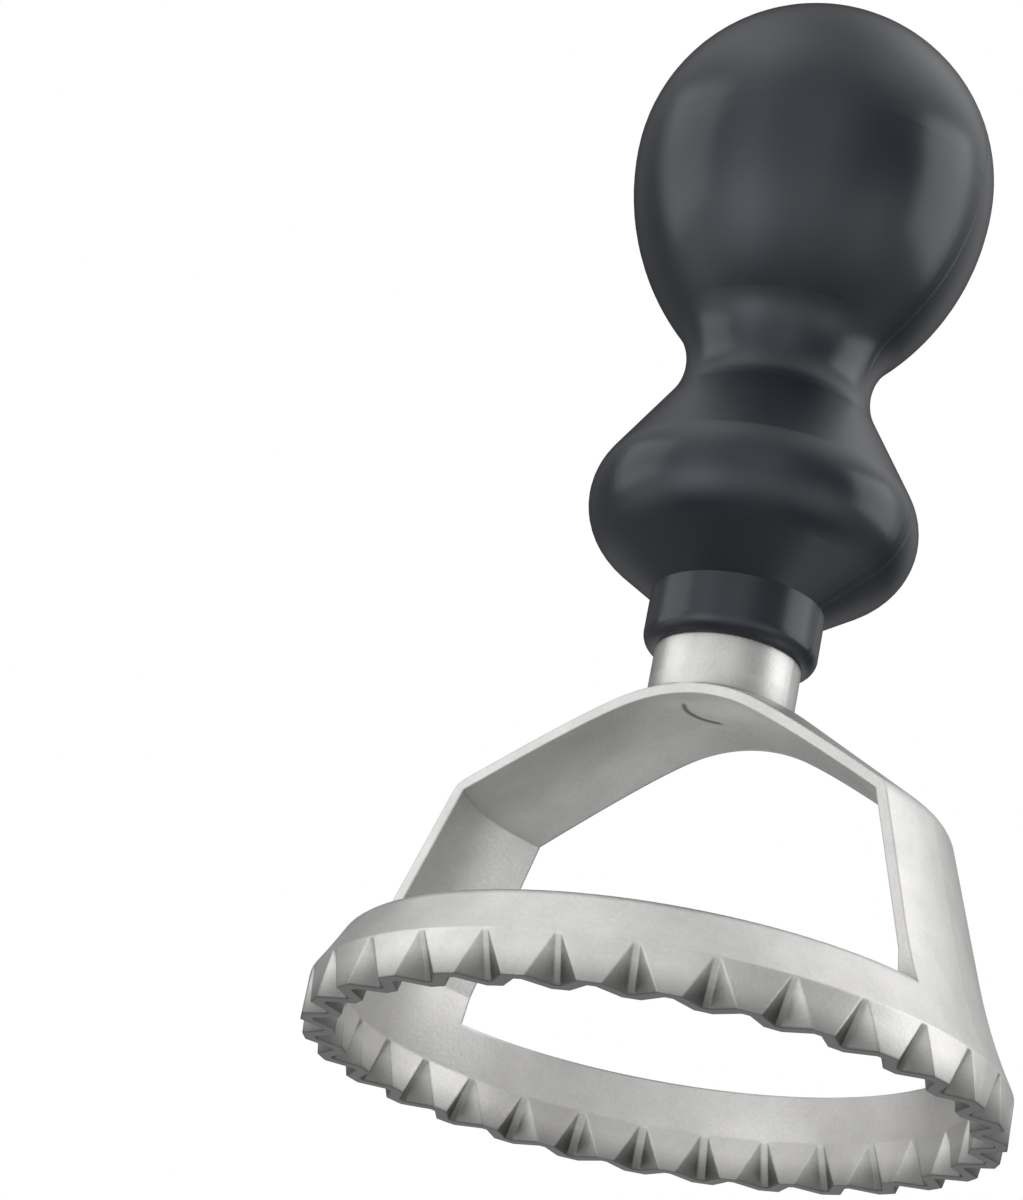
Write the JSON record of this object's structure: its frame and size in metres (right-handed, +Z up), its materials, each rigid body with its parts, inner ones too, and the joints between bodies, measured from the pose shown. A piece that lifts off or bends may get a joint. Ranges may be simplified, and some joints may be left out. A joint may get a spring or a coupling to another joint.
{
  "type": "ravioli stamp",
  "caption": "Round ravioli stamp: a fluted cast ring on a folded bridge and neck, under a dark waisted knob handle.",
  "frame": {"origin": "centre of the cutting rim, on the plane that the stamp stands on", "axes": "+Z up along the handle's axis, X along the bridge, so its two arms stand at +X and -X"},
  "size_m": [0.07, 0.07, 0.1213],
  "materials": {
    "cast_aluminium": "blasted casting, satin",
    "steel": "plated thread",
    "handle_plastic": "satin moulding"
  },
  "bodies": {
    "root": {"cutter": "cast_aluminium", "stud": "steel", "handle": "handle_plastic"}
  },
  "joints": []
}
